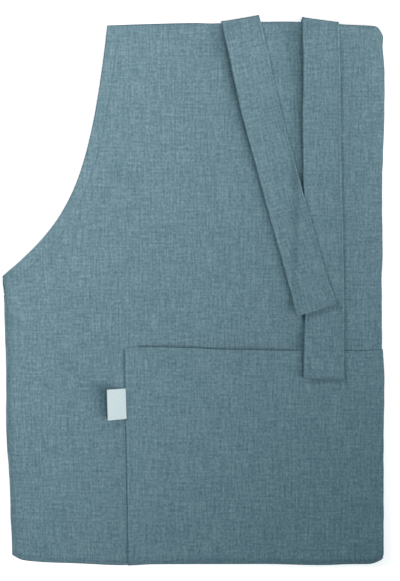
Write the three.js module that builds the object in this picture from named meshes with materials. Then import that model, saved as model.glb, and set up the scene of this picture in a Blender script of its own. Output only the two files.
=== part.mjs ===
// A bib apron of plain linen, folded flat and lying front up.
// Millimetres. +X to the right and +Y to the top of the bib as it lies, +Z up from the table.
import * as THREE from "three";

// Cloth and layers
const CLOTH = 1.0; // linen, one layer
const STRAP = 1.2; // strap, two layers pressed together
const LABEL = 0.8; // label, folded double
const GAP = 0.3; // air between two pieces or two layers
const PITCH = CLOTH + GAP; // from the middle of one layer to the next

// Flat pattern of the panel, on the axes of the face
const MIDDLE = 65.3; // where the apron's own centre line runs on the face
const BIB_WIDTH = 311;
const SKIRT_WIDTH = 700;
const LENGTH = 850;
const BIB_TOP = 278.4; // corners of the bib
const BIB_BOW = 3.2; // how far the bib's top edge rises between its corners
const ARMHOLE = { out: 194.5, down: 320, upper: [18.5, 170], lower: [36.5, 231] };
const ARMHOLE_STEPS = 20;
const TOP_STEPS = 12;

// Folds: straight lines across the pattern
const LEFT_FOLD = -199;
const RIGHT_FOLD = 198;
const BOTTOM_FOLD = -285.4;
const SIDE_RADIUS = PITCH / 2;
const BOTTOM_RADIUS = 1.5 * PITCH;
const FACE_Z = 3 * PITCH + CLOTH / 2; // middle of the face where four layers lie
const BEND_STEPS = 4;

// The bib lies lower than the skirt, past the hem that is folded up behind it
const SETTLE = { from: 0, length: 75, depth: 2.4 };

// Where the folded edges stray from their straight lines
const LEFT_EDGE = [
  { y: 20, shift: -1.2 },
  { y: -11, shift: 1.0 },
  { y: -58, shift: 2.3 },
  { y: -116, shift: 3.4 },
  { y: -169, shift: 5.5 },
  { y: -222, shift: 7.6 },
  { y: -290, shift: 9.8 },
];
const RIGHT_EDGE = [
  { y: 268, shift: 0 },
  { y: 220, shift: 1.6 },
  { y: 178, shift: 0.9 },
  { y: 136, shift: 0 },
  { y: 94, shift: -0.7 },
  { y: -58, shift: -0.7 },
  { y: -80, shift: -0.3 },
];
const EDGE_REACH = 150; // how far in from an edge its straying fades out
const CORNERS = {
  bottom_left: { x: -191, edge: BOTTOM_FOLD, inward: 1, wide: 90, rise: 7.4, power: 3 },
  bottom_right: { x: 199, edge: BOTTOM_FOLD, inward: -1, wide: 34, rise: 5.5, power: 2 },
  top_right: { x: 199.5, edge: BIB_TOP, inward: -1, wide: 9, rise: -10, power: 2 },
};
const CORNER_FLAT = 4; // run from the edge in which a corner has its full rise
const CORNER_REACH = 55; // run from the edge in which that rise fades out

// Pocket, its seams on the right fold and the bottom fold
const POCKET = { leftTop: -72.1, leftBottom: -68.5, topLeft: -60.5, topRight: -64.7 };
const POCKET_TURN = Math.PI / 2; // how far round each fold its seams lie

// Straps: where the middle of each turns over the bib's top edge, and how it runs from there.
// The headings are degrees from straight down, towards the right; the fold's slope is its rise to the right.
const STRAP_WIDTH = 40;
const STRAPS = {
  tie_left: {
    x: 48.0, y: 284, heading: 13.5, endHeading: 16.4, slope: 8,
    front: 316.5, back: 42, cut: -1, cells: 6,
  },
  tie_right: {
    x: 133.2, y: 282.5, heading: 1.4, endHeading: -0.2, slope: -6.5,
    front: 376.3, back: 42, cut: 1.5, cells: 4,
  },
};
const STRAP_RADIUS = (CLOTH + STRAP + 2 * GAP) / 2;
const CLIMB = 10; // run in which a strap climbs on to what it crosses
const CLEAR = 1; // from the edge of what it crosses to the end of that run

// Label, its right end in the pocket's left seam
const SIDE_LABEL = { x: -81.15, y: -120.8, width: 18.9, height: 32.6, turn: 1.6 };

// Lines of the mesh where the cloth bends or strays
const CELL = { wide: 55, long: 45 };
const CORNER_LINES = { left: [-185, -165, -135], right: [165, 185, 193], top: [250, 262] };
const EDGE_LINES = [...LEFT_EDGE, ...RIGHT_EDGE].map((row) => row.y).filter((y) => y > BOTTOM_FOLD);
const SETTLE_STEPS = 8;
const STRAP_TURN_STEPS = 12;
const LABEL_CELLS = { across: 4, along: 6 };
const HAIR = 1e-6; // shorter lengths are nothing
const SLIVER = { cell: 1e-4, triangle: 1e-7 }; // smaller areas are nothing

const LINEN = new THREE.MeshStandardMaterial({ color: 0x65818c, roughness: 0.92, metalness: 0 });
const WHITE_LINEN = new THREE.MeshStandardMaterial({ color: 0xdde5e6, roughness: 0.85, metalness: 0 });

const radians = (degrees) => (degrees * Math.PI) / 180;

// 0 before a, 1 after b, smooth between.
function ramp(value, a, b) {
  const s = Math.min(1, Math.max(0, (value - a) / (b - a)));
  return s * s * (3 - 2 * s);
}

// The value of a column at y, from a table whose rows run from high y to low y.
function column(table, y) {
  if (y >= table[0].y) return table[0].shift;
  for (let i = 1; i < table.length; i++) {
    const upper = table[i - 1];
    const lower = table[i];
    if (y >= lower.y) return lower.shift + (upper.shift - lower.shift) * ramp(y, lower.y, upper.y);
  }
  return table[table.length - 1].shift;
}

function settled(y) {
  return SETTLE.depth * ramp(y, SETTLE.from, SETTLE.from + SETTLE.length);
}

// Carries a point of the straight-folded apron to its place in the outline as it lies.
function strayed(x, y) {
  const left = column(LEFT_EDGE, y) * (1 - ramp(x, LEFT_FOLD, LEFT_FOLD + EDGE_REACH));
  const right = column(RIGHT_EDGE, y) * ramp(x, RIGHT_FOLD - EDGE_REACH, RIGHT_FOLD);
  let lift = 0;
  for (const corner of Object.values(CORNERS)) {
    const inside = (x - corner.x) * corner.inward;
    const near = Math.max(0, 1 - Math.max(0, inside) / corner.wide);
    const fade = 1 - ramp(Math.abs(y - corner.edge), CORNER_FLAT, CORNER_REACH);
    lift += corner.rise * near ** corner.power * fade;
  }
  return [x + left + right, y + lift];
}

// The folded place of a point u, v of the flat pattern, t out from the middle of the cloth to its front.
function folded(u, v, t) {
  let x = u;
  let height = t;
  for (const [fold, side] of [[LEFT_FOLD, -1], [RIGHT_FOLD, 1]]) {
    const past = (u - fold) * side;
    if (past <= 0) continue;
    const turn = Math.min(past / SIDE_RADIUS, Math.PI);
    const flat = Math.max(0, past - Math.PI * SIDE_RADIUS);
    x = fold + side * ((SIDE_RADIUS + t) * Math.sin(turn) - flat);
    height = (SIDE_RADIUS + t) * Math.cos(turn) - SIDE_RADIUS;
  }
  let y = v;
  const past = BOTTOM_FOLD - v;
  if (past > 0) {
    const turn = Math.min(past / BOTTOM_RADIUS, Math.PI);
    const reach = height + BOTTOM_RADIUS;
    y = BOTTOM_FOLD - reach * Math.sin(turn) + Math.max(0, past - Math.PI * BOTTOM_RADIUS);
    height = reach * Math.cos(turn) - BOTTOM_RADIUS;
  } else {
    height -= settled(v);
  }
  const [wx, wy] = strayed(x, y);
  return new THREE.Vector3(wx, wy, FACE_Z + height);
}

// The part of a polygon on one side of a line across one axis.
function clipped(polygon, axis, limit, keepAbove) {
  const inside = (p) => (keepAbove ? p[axis] >= limit - HAIR : p[axis] <= limit + HAIR);
  const kept = [];
  polygon.forEach((p, i) => {
    const q = polygon[(i + 1) % polygon.length];
    if (inside(p)) kept.push(p);
    if (inside(p) !== inside(q)) {
      const s = (limit - p[axis]) / (q[axis] - p[axis]);
      const cut = [p[0] + s * (q[0] - p[0]), p[1] + s * (q[1] - p[1])];
      cut[axis] = limit;
      kept.push(cut);
    }
  });
  return kept;
}

function span(from, to, steps) {
  return Array.from({ length: steps + 1 }, (_, i) => from + ((to - from) * i) / steps);
}

// Even lines no more than a step apart, with every one of the wanted lines among them.
function lines(from, to, wanted, step) {
  const between = wanted.filter((w) => w > from + HAIR && w < to - HAIR).sort((a, b) => a - b);
  const fixed = [from, ...between, to];
  const all = [from];
  for (let i = 1; i < fixed.length; i++) {
    const run = fixed[i] - fixed[i - 1];
    if (run < HAIR) continue;
    all.push(...span(fixed[i - 1], fixed[i], Math.ceil(run / step - HAIR)).slice(1));
  }
  return all;
}

// A closed solid of even thickness over an outline, cut into cells so that it can bend.
function clothSolid(outline, across, along, low, high, place) {
  const points = [];
  const known = new Map();
  const indexOf = (p) => {
    const key = p[0].toFixed(3) + " " + p[1].toFixed(3);
    if (!known.has(key)) known.set(key, points.push(p) - 1);
    return known.get(key);
  };
  const triangles = [];
  for (let i = 1; i < across.length; i++) {
    const strip = clipped(clipped(outline, 0, across[i - 1], true), 0, across[i], false);
    for (let j = 1; j < along.length; j++) {
      const cell = clipped(clipped(strip, 1, along[j - 1], true), 1, along[j], false);
      const ring = [...new Set(cell.map(indexOf))];
      if (ring.length < 3) continue;
      const contour = ring.map((k) => new THREE.Vector2(...points[k]));
      if (Math.abs(THREE.ShapeUtils.area(contour)) < SLIVER.cell) continue;
      for (const triple of THREE.ShapeUtils.triangulateShape(contour, [])) {
        const [a, b, c] = triple.map((k) => ring[k]);
        const turn = THREE.ShapeUtils.area([a, b, c].map((k) => new THREE.Vector2(...points[k])));
        if (Math.abs(turn) > SLIVER.triangle) triangles.push(turn > 0 ? [a, b, c] : [a, c, b]);
      }
    }
  }
  const rim = new Map();
  for (const [a, b, c] of triangles) {
    for (const [p, q] of [[a, b], [b, c], [c, a]]) {
      if (!rim.delete(q + " " + p)) rim.set(p + " " + q, [p, q]);
    }
  }
  const count = points.length;
  const index = [];
  for (const [a, b, c] of triangles) index.push(a, b, c, count + a, count + c, count + b);
  for (const [p, q] of rim.values()) index.push(p, count + p, q, q, count + p, count + q);
  const places = [high, low].flatMap((t) => points.map(([u, v]) => place(u, v, t)));
  const geometry = new THREE.BufferGeometry().setFromPoints(places);
  geometry.setIndex(index);
  geometry.computeVertexNormals();
  return geometry;
}

// Half of the panel's outline, from the middle of the bib's top edge out and down to the hem.
function halfOutline(side) {
  const half = BIB_WIDTH / 2;
  const top = span(0, half, TOP_STEPS / 2).map((d) => [d, BIB_TOP + BIB_BOW * (1 - (d / half) ** 2)]);
  const curve = new THREE.CubicBezierCurve(
    new THREE.Vector2(0, 0),
    new THREE.Vector2(...ARMHOLE.upper),
    new THREE.Vector2(...ARMHOLE.lower),
    new THREE.Vector2(ARMHOLE.out, ARMHOLE.down),
  );
  const armhole = curve.getSpacedPoints(ARMHOLE_STEPS).slice(1);
  const hem = BIB_TOP - LENGTH;
  const rows = [...top, ...armhole.map((p) => [half + p.x, BIB_TOP - p.y]), [SKIRT_WIDTH / 2, hem]];
  return rows.map(([d, v]) => [MIDDLE + side * d, v]);
}

function panel() {
  const outline = [...halfOutline(-1), ...halfOutline(1).reverse().slice(0, -1)];
  const sideBend = span(0, Math.PI * SIDE_RADIUS, BEND_STEPS);
  const bottomBend = span(0, Math.PI * BOTTOM_RADIUS, 2 * BEND_STEPS);
  const leftLines = sideBend.map((s) => LEFT_FOLD - s);
  const rightLines = sideBend.map((s) => RIGHT_FOLD + s);
  const across = lines(
    MIDDLE - SKIRT_WIDTH / 2,
    MIDDLE + SKIRT_WIDTH / 2,
    [...leftLines, ...rightLines, ...CORNER_LINES.left, ...CORNER_LINES.right],
    CELL.wide,
  );
  const settleLines = span(SETTLE.from, SETTLE.from + SETTLE.length, SETTLE_STEPS);
  const along = lines(
    BIB_TOP - LENGTH,
    BIB_TOP + BIB_BOW,
    [...bottomBend.map((s) => BOTTOM_FOLD - s), ...settleLines, ...EDGE_LINES, ...CORNER_LINES.top],
    CELL.long,
  );
  return clothSolid(outline, across, along, -CLOTH / 2, CLOTH / 2, folded);
}

function pocket() {
  const right = RIGHT_FOLD + POCKET_TURN * SIDE_RADIUS;
  const bottom = BOTTOM_FOLD - POCKET_TURN * BOTTOM_RADIUS;
  const outline = [
    [POCKET.leftTop, POCKET.topLeft],
    [POCKET.leftBottom, bottom],
    [right, bottom],
    [right, POCKET.topRight],
  ];
  const sideBend = span(RIGHT_FOLD, right, BEND_STEPS / 2);
  const bottomBend = span(bottom, BOTTOM_FOLD, BEND_STEPS);
  const across = lines(POCKET.leftTop, right, [...sideBend, ...CORNER_LINES.right], CELL.wide);
  const along = lines(bottom, POCKET.topLeft, [...bottomBend, ...EDGE_LINES], CELL.long);
  return clothSolid(outline, across, along, CLOTH / 2 + GAP, CLOTH / 2 + GAP + CLOTH, folded);
}

// Height of the top of the face where it lies open.
function faceTop(y) {
  return FACE_Z + CLOTH / 2 - settled(y);
}

// Height of a strap's underside: the face, the pocket's edge and, for the strap on top, the strap it crosses.
function support(x, y, crosses) {
  const mouth = POCKET.topLeft + CLEAR;
  const onPocket = PITCH * (1 - ramp(y, mouth, mouth + CLIMB));
  const edge = STRAPS.tie_right.x - STRAP_WIDTH / 2 - CLEAR;
  const onStrap = crosses ? (STRAP + GAP) * ramp(x, edge - CLIMB, edge) : 0;
  return faceTop(y) + GAP + onPocket + onStrap;
}

// A strap: a flat ribbon, a across it and up along it from the fold, turned over the bib's top edge.
function strap(row, crosses) {
  const bend = radians(row.endHeading - row.heading) / row.front;
  const start = radians(row.heading);
  const slope = radians(row.slope);
  const run = Math.PI * STRAP_RADIUS;
  const half = STRAP_WIDTH / 2;
  const along = new THREE.Vector2(Math.cos(slope), Math.sin(slope));
  const place = (a, up, t) => {
    const down = Math.max(0, -up);
    const turned = start + bend * down;
    let x = (Math.cos(start) - Math.cos(turned)) / bend + a * Math.cos(turned);
    let y = (Math.sin(start) - Math.sin(turned)) / bend + a * Math.sin(turned);
    if (up > 0) {
      x -= Math.sin(start) * up;
      y += Math.cos(start) * up;
    }
    const across = along.x * x + along.y * y;
    const past = along.x * y - along.y * x;
    if (past <= 0) {
      const px = row.x + x;
      const py = row.y + y;
      return new THREE.Vector3(px, py, support(px, py, crosses) + STRAP / 2 + t);
    }
    const turn = Math.min(past / STRAP_RADIUS, Math.PI);
    const reach = (STRAP_RADIUS + t) * Math.sin(turn) - Math.max(0, past - run);
    const axis = FACE_Z - SETTLE.depth;
    return new THREE.Vector3(
      row.x + along.x * across - along.y * reach,
      row.y + along.y * across + along.x * reach,
      axis + (STRAP_RADIUS + t) * Math.cos(turn),
    );
  };
  const tilt = half * Math.tan(radians(row.cut));
  const outline = [
    [-half, row.back],
    [-half, tilt - row.front],
    [half, -tilt - row.front],
    [half, row.back],
  ];
  const lean = half * Math.tan(start - slope);
  const turnLines = span(-Math.abs(lean) - CLEAR, run + Math.abs(lean) + CLEAR, STRAP_TURN_STEPS);
  const acrossLines = span(-half, half, row.cells);
  const alongLines = lines(-row.front - Math.abs(tilt), row.back, turnLines, CLIMB);
  return clothSolid(outline, acrossLines, alongLines, -STRAP / 2, STRAP / 2, place);
}

function sideLabel() {
  const turn = radians(SIDE_LABEL.turn);
  const place = (a, b, t) => {
    const u = SIDE_LABEL.x + a * Math.cos(turn) - b * Math.sin(turn);
    const v = SIDE_LABEL.y + a * Math.sin(turn) + b * Math.cos(turn);
    return folded(u, v, t);
  };
  const w = SIDE_LABEL.width / 2;
  const h = SIDE_LABEL.height / 2;
  const outline = [[-w, h], [-w, -h], [w, -h], [w, h]];
  const low = CLOTH / 2 + GAP;
  const across = span(-w, w, LABEL_CELLS.across);
  const along = span(-h, h, LABEL_CELLS.along);
  return clothSolid(outline, across, along, low, low + LABEL, place);
}

function named(name, geometry, material) {
  const mesh = new THREE.Mesh(geometry, material);
  mesh.name = name;
  return mesh;
}

const apron = new THREE.Group();
apron.name = "apron";
apron.add(named("apron_panel", panel(), LINEN));
apron.add(named("pocket", pocket(), LINEN));
apron.add(named("tie_left", strap(STRAPS.tie_left, true), LINEN));
apron.add(named("tie_right", strap(STRAPS.tie_right, false), LINEN));
apron.add(named("side_label", sideLabel(), WHITE_LINEN));

export default apron;
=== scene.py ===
"""A bib apron of plain linen, folded flat and lying front up, on a pale studio floor.

The cloth is laid out as a flat pattern and carried through its folds, so that the weave, the hems
and the stitches follow it."""

import math
from collections import namedtuple

import bpy
import numpy as np
from bpy.props import FloatProperty, FloatVectorProperty, PointerProperty
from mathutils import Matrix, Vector


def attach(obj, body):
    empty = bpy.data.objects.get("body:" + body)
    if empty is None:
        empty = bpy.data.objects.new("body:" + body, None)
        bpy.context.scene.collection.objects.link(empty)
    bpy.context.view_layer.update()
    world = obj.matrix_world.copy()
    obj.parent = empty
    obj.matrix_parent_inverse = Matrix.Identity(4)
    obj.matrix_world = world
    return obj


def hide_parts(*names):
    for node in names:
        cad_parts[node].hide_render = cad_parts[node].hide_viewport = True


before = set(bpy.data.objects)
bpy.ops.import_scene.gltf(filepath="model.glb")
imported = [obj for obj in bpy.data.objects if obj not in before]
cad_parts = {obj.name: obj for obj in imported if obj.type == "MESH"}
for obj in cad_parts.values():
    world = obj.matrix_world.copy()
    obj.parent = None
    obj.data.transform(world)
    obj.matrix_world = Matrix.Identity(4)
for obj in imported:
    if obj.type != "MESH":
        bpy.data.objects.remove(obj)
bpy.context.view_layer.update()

bl_info = {
    "name": "Folded linen apron",
    "version": (1, 0, 0),
    "blender": (4, 5, 0),
    "location": "View3D > Sidebar > Apron",
    "description": "Models a folded bib apron with its pocket, straps, label and stitching, and its stage",
    "category": "Add Mesh",
}

BODY = "root"

# The flat pattern, on the axes of the face as it lies, in metres
MIDDLE = 0.0653
BIB_TOP = 0.2784
BIB_BOW, BOW_REACH = 0.0032, 0.05
ARMHOLE_OUT, ARMHOLE_DOWN, ARMHOLE_POINTS = 0.1945, 0.332, 240
ARMHOLE_CURVE = ((0.0, 0.0), (0.0248, 0.2229), (0.0535, 0.2165), (ARMHOLE_OUT, ARMHOLE_DOWN))

# The folds, and how the face settles past the hem that is folded up behind it
LEFT_FOLD = -0.199
RIGHT_FOLD = 0.198
BOTTOM_FOLD = -0.2854
LAYERS_BEHIND = 3
SETTLE_FROM, SETTLE_RUN, SETTLE_DEPTH = 0.0, 0.075, 0.0024

# How far the outline strays from its plain lines, and how far in that reaches
Stray = namedtuple("Stray", "at shift")
LEFT_EDGE = (
    Stray(-0.290, 0.0100),
    Stray(-0.222, 0.0080),
    Stray(-0.140, 0.0037),
    Stray(-0.095, 0.0038),
    Stray(-0.011, 0.0017),
    Stray(0.008, 0.0),
)
RIGHT_EDGE = (
    Stray(-0.160, 0.0003),
    Stray(-0.095, 0.0012),
    Stray(-0.058, -0.0004),
    Stray(0.016, -0.0007),
    Stray(0.035, 0.0005),
    Stray(0.098, -0.0001),
    Stray(0.200, 0.0026),
    Stray(0.225, 0.0026),
    Stray(0.268, 0.0007),
)
TOP_EDGE = (
    Stray(0.0, -0.0004),
    Stray(0.024, -0.0014),
    Stray(0.050, -0.0013),
    Stray(0.090, 0.0002),
    Stray(0.165, -0.0024),
)
BOTTOM_EDGE = (
    Stray(-0.140, 0.0),
    Stray(-0.078, -0.0020),
    Stray(-0.040, -0.0006),
    Stray(0.075, -0.0003),
    Stray(0.134, -0.0015),
    Stray(0.172, -0.0005),
)
SIDE_REACH, END_REACH = 0.150, 0.050

# How the outline's corners are rounded off: place, way in, width, rise, power it fades by, and edge
Corner = namedtuple("Corner", "x inward wide rise power edge")
CORNERS = (
    Corner(-0.199, 1, 0.090, 0.0042, 3, BOTTOM_FOLD),
    Corner(-0.199, 1, 0.014, 0.0038, 2, BOTTOM_FOLD),
    Corner(0.199, -1, 0.016, 0.0052, 2, BOTTOM_FOLD),
    Corner(0.1995, -1, 0.009, -0.010, 2, BIB_TOP),
)
CORNER_FLAT, CORNER_REACH = 0.004, 0.055

# Slow unevenness of the cloth: height, and waves to the metre across and along
Ripple = namedtuple("Ripple", "height across along phase")
RIPPLES = (
    Ripple(0.00030, 6.1, 4.3, 0.4),
    Ripple(0.00022, -4.7, 8.9, 1.9),
    Ripple(0.00016, 11.3, 2.1, 3.1),
    Ripple(0.00012, 3.3, -14.2, 5.0),
)

# How edges waver, and what sets the two folds and the two edges of a strap apart
WOBBLES = (
    Ripple(0.00009, 0.0, 43.0, 0.3),
    Ripple(0.00008, 0.0, 27.0, 1.7),
)
LEFT_PHASE, RIGHT_PHASE, STRAP_PHASE = 0.0, 2.0, 40

# How far the cloth rounds down to its outline and over what reach, the most that the stack is squashed,
# and the share of the top edge's drop that a strap holds up
LEFT_DROP, LEFT_DROP_REACH = 0.0022, 0.009
BOTTOM_DROP, BOTTOM_DROP_REACH = 0.0018, 0.005
TOP_DROP, TOP_DROP_REACH = 0.0016, 0.005
RIGHT_DROP, RIGHT_DROP_REACH = 0.0010, 0.012
SQUASHED = 0.75
STRAP_HOLDS = 0.7

# The swell under the right strap
SWELL_FROM, SWELL_CREST, SWELL_TO, SWELL_HEIGHT = 0.025, 0.166, 0.2015, 0.0060
SWELL_LOW, SWELL_FULL = -0.270, -0.050

# The ridge along the pocket's left seam
RIDGE_HEIGHT, RIDGE_LEFT, RIDGE_CREST, RIDGE_RIGHT = 0.0018, 0.042, 0.004, 0.048
RIDGE_BELOW, RIDGE_ABOVE = 0.02, 0.03

# The rise over the strap ends that are sewn behind the bib
END_HEIGHT, END_HALF, END_SOFT = 0.0018, 0.014, 0.028
END_BELOW, END_ABOVE = 0.04, 0.015

# The pocket: left edge at its top and its foot, top edge at its left and its right end, turn round the folds,
# where the slant of both edges fades out, and how the mouth strays from its line
POCKET_LEFT, POCKET_LEFT_LOW = -0.0721, -0.0685
POCKET_TOP, POCKET_TOP_END = -0.0605, -0.0647
POCKET_TURN = math.pi / 2
LEAN_LEFT, LEAN_RIGHT = 0.01, 0.02
TILT_LOW, TILT_HIGH = 0.02, 0.004
MOUTH = (
    Stray(-0.068, 0.0),
    Stray(-0.045, 0.0008),
    Stray(-0.008, 0.0004),
    Stray(0.039, -0.0008),
    Stray(0.094, -0.0008),
    Stray(0.180, 0.0003),
    Stray(0.199, 0.0020),
)

# The pocket's edges: how they round off, and how the seams and the sewn corner press them flat
SEAM_ROUND, MOUTH_ROUND, CORNER_ROUND = 0.0008, 0.0014, 0.0066
SEWN_CORNER, SEWN_CORNER_END, SEWN_CORNER_DOWN = 0.008, 0.018, 0.008
SEWN_FLAT, SEWN_FULL, CORNER_FLATTER = 0.58, 0.42, 0.30
FLAT_FROM, FLAT_TO = 0.0006, 0.006
DRAWN_DEPTH, DRAWN_FROM, DRAWN_TO = 0.0002, 0.001, 0.006
HEM_FADE = 0.003

# The bead of the pocket's left seam: crest, width and rise, and how the label slackens it
POCKET_BEAD, BEAD_FADE = (0.0007, 0.0022, 0.0011), 0.004
SLACK, SLACK_BELOW, SLACK_REACH = 0.6, 0.020, 0.024

# How the mouth opens: in from its corners, out from the strap that lies on it, and down from its edge
OPEN_LEFT, OPEN_LEFT_FULL = 0.010, 0.024
NARROWED, NARROWED_FROM, NARROWED_TO = 0.8, 0.050, 0.030
SHUT, SHUT_FROM, SHUT_TO = 0.2, 0.014, 0.002
HELD_LEFT, HELD_LEFT_END = -0.006, 0.016
HELD_RIGHT, HELD_RIGHT_END = 0.010, 0.054
OPEN_MEAN, OPEN_WAVE = 0.72, 0.28
LONG_WAVE, LONG_WAVE_PHASE, SHORT_WAVE = 71.0, 0.6, 163.0
OPEN_DOWN = 0.016

# The straps: middle of the turn over the bib, headings from straight down and slope of the turn in degrees,
# lengths in front and behind, slant of the end in degrees, rise of its corner, whether it crosses the other
Strap = namedtuple("Strap", "x y heading end_heading slope front back cut curl crosses")
STRAPS = {
    "tie_left": Strap(0.0480, 0.2828, 13.5, 16.4, 9.5, 0.3153, 0.042, -1.0, 0.0008, True),
    "tie_right": Strap(0.1332, 0.2811, 1.4, -0.2, -8.0, 0.3749, 0.042, 1.5, 0.0006, False),
}
STRAP_CLIMB, STRAP_CLEAR = 0.010, 0.001
PRESSED = 0.0005
RAISED, RAISED_FROM = 0.0004, 0.022
CURL_LEFT, CURL_RIGHT, CURL_REACH = 0.4, 0.6, 0.016
CUT_REACH = 0.04

# How far the left edge of each strap stands off, down from the turn
Stand = namedtuple("Stand", "down height")
STANDS = {
    "tie_left": (
        Stand(0.0, 0.0),
        Stand(0.022, 0.0034),
        Stand(0.100, 0.0026),
        Stand(0.180, 0.0008),
        Stand(0.250, 0.0008),
        Stand(0.3153, 0.0026),
    ),
    "tie_right": (
        Stand(0.0, 0.0),
        Stand(0.022, 0.0028),
        Stand(0.130, 0.0016),
        Stand(0.172, PRESSED),
        Stand(0.306, PRESSED),
        Stand(0.330, 0.0020),
        Stand(0.3749, 0.0020),
    ),
}

# How far each strap sways to the right, and what share it spreads, down from the turn
SWAYS = {
    "tie_left": (
        Stray(0.0, 0.0019),
        Stray(0.105, -0.0005),
        Stray(0.160, 0.0),
    ),
    "tie_right": (
        Stray(0.040, 0.0005),
        Stray(0.120, -0.0008),
        Stray(0.290, 0.0005),
        Stray(0.375, -0.0004),
    ),
}
SPREADS = {
    "tie_left": (
        Stray(0.284, 0.016),
        Stray(0.315, 0.095),
    ),
    "tie_right": (
        Stray(0.050, -0.040),
        Stray(0.100, -0.008),
        Stray(0.280, 0.020),
        Stray(0.375, 0.058),
    ),
}

# The straps' edges: how they round off, and the crest and width of their beads
STRAP_ROUND, STRAP_END_ROUND = 0.0007, 0.0020
SIDE_BEAD, END_BEAD = (0.0008, 0.0022), (0.0020, 0.0016)
STRAP_GROOVE, STRAP_GROOVE_WIDTH = 0.5, 0.0005

# The label, with its right end in the pocket's left seam: how that end is drawn up, and how it stands off
LABEL_X, LABEL_Y, LABEL_TURN = -0.0804, -0.1208, 1.6
LABEL_DRAWN, LABEL_DRAWN_LOW = 0.0006, 0.0006
LABEL_OFF, LABEL_TOP_OFF = 0.0009, 0.0028
LABEL_FREE_OFF, LABEL_FREE_TOP, LABEL_BEND = 0.0044, 0.0008, 1.3
LABEL_ROUND = 0.0004

# Hems and stitches: relief and rounding, grooves, the shape and spacing of one stitch, and points on a line
HEM_RELIEF, HEM_ROUND, EDGE_ROUND = 2.2, 0.0006, 0.0008
PAST_STITCH, PAST_STITCH_END = 0.0004, 0.0016
GROOVE_WIDTH, GROOVE_SHARE = 0.00055, 0.6
STITCH_SIDES, STITCH_RINGS = 6, 5
STITCH_SPACING, STITCH_SPAN = 1.2, 1e-4
STITCH_HIGH, STITCH_SUNK = 0.25, 0.8
STRAP_THREAD_HIGH, STRAP_END_STITCH = 0.00005, 0.0085
SIDE_POINTS, TOP_POINTS, STRAP_POINTS = 400, 60, 120

# Distances from an edge at which a sheet has a line of its mesh
RIM = (0.0, 0.00008, 0.00025, 0.0005, 0.0009)
SEAM = RIM + (0.0013, 0.0017, 0.0020, 0.0023, 0.0026, 0.0030, 0.0036, 0.0050)
BORDER = RIM + (0.0015, 0.0022, 0.0028, 0.0032, 0.0036, 0.0040, 0.0044, 0.0050, 0.0065)
TURNED = RIM + (0.0016, 0.0024, 0.0032, 0.0040, 0.0046, 0.0050, 0.0054, 0.0060, 0.0070, 0.0084, 0.0104)
FOLD = (0.0, 0.0008, 0.0017, 0.0028, 0.0042, 0.0058, 0.0076, 0.0100)
BESIDE = (-0.014, -0.009, -0.006, -0.004, -0.0025, -0.001, 0.001, 0.0025, 0.004, 0.006, 0.009, 0.014)
BY_HEM_STITCH = (0.0108, 0.0112, 0.0116, 0.0120, 0.0124, 0.0130, 0.0140, 0.0155)
HEM = RIM + tuple(np.arange(0.002, 0.0106, 0.001)) + BY_HEM_STITCH
BY_MOUTH_STITCH = (-0.002, -0.0012, -0.0006, -0.0003, 0, 0.0003, 0.0006, 0.0012, 0.002)

# Steps of the mesh elsewhere, and numbers of lines; the armhole comes round the left fold between two heights
BACK_STEP, FACE_STEP = 0.007, 0.006
ROUND_FOLD_LOW, ROUND_FOLD_HIGH, ROUND_FOLD_STEP = -0.018, 0.020, 0.0007
BOTTOM_BEND_STEPS, SIDE_BEND_LINES = 12, 8
LEFT_BACK_LINES, RIGHT_BACK_LINES = 11, 25
HEM_CLEAR = 0.003
POCKET_STEP, POCKET_DROP_STEP, POCKET_HEM_STEP = 0.004, 0.001, 0.003
SAME_LINE = 1e-5
STRAP_STEP, STRAP_TURN_STEP = 0.003, 0.0004
STRAP_TURN_LOW, STRAP_TURN_HIGH = -0.010, 0.016
LABEL_STEP = 0.001

# The finishes: roughness and gloss, and the noises of the linen by millimetres across and along
Finish = namedtuple("Finish", "roughness gloss")
FINISHES = {
    "slubbed_linen": Finish(0.92, 0.2),
    "sewing_thread": Finish(0.7, 0.3),
    "label_weave": Finish(0.7, 0.3),
    "studio_floor": Finish(0.95, 0.1),
}
Yarn = namedtuple("Yarn", "across along detail weight")
YARNS = (
    Yarn(1.8, 22.0, 1.0, 0.26),
    Yarn(18.0, 1.9, 1.0, 0.20),
    Yarn(2.5, 3.2, 1.0, 0.32),
    Yarn(26.0, 34.0, 2.0, 0.05),
    Yarn(3.4, 70.0, 1.0, 0.09),
    Yarn(52.0, 3.4, 1.0, 0.08),
)
MILLIMETRES, YARN_ROUGHNESS = 1000, 0.55
DARK_AT, MIDDLE_AT, LIGHT_AT = 0.37, 0.5, 0.63
SHEEN, SHEEN_ROUGHNESS = 0.08, 0.5
WEAVE_PITCH, WEAVE_HEIGHT, WEAVE_BUMP, WEAVE_DEPTH = 0.00085, 0.25, 0.5, 0.0004
THREAD_SCALE, THREAD_DETAIL = 900.0, 1.0
LABEL_YARN = Yarn(0.5, 2.4, 2.0, 1.0)
LABEL_SHADE, LABEL_SHADE_AT, LABEL_PALE_AT = 0.86, 0.25, 0.60
RIB_PITCH, RIB_HEIGHT, RIB_BUMP, RIB_DEPTH = 0.0006, 0.3, 0.4, 0.0002
FLOOR_SHADE, FLOOR_SCALE, FLOOR_DETAIL, FLOOR_GLOW = 0.98, 3.0, 2.0, 0.62
WHITE = (1.0, 1.0, 1.0, 1.0)

# The photograph's frame, its height in pixels
FRAME_HIGH = 581
METRES_A_PIXEL = 0.0010526
FRAME_MIDDLE = (0.0074, -0.0010)
CAMERA_HEIGHT = 2.4

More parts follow.
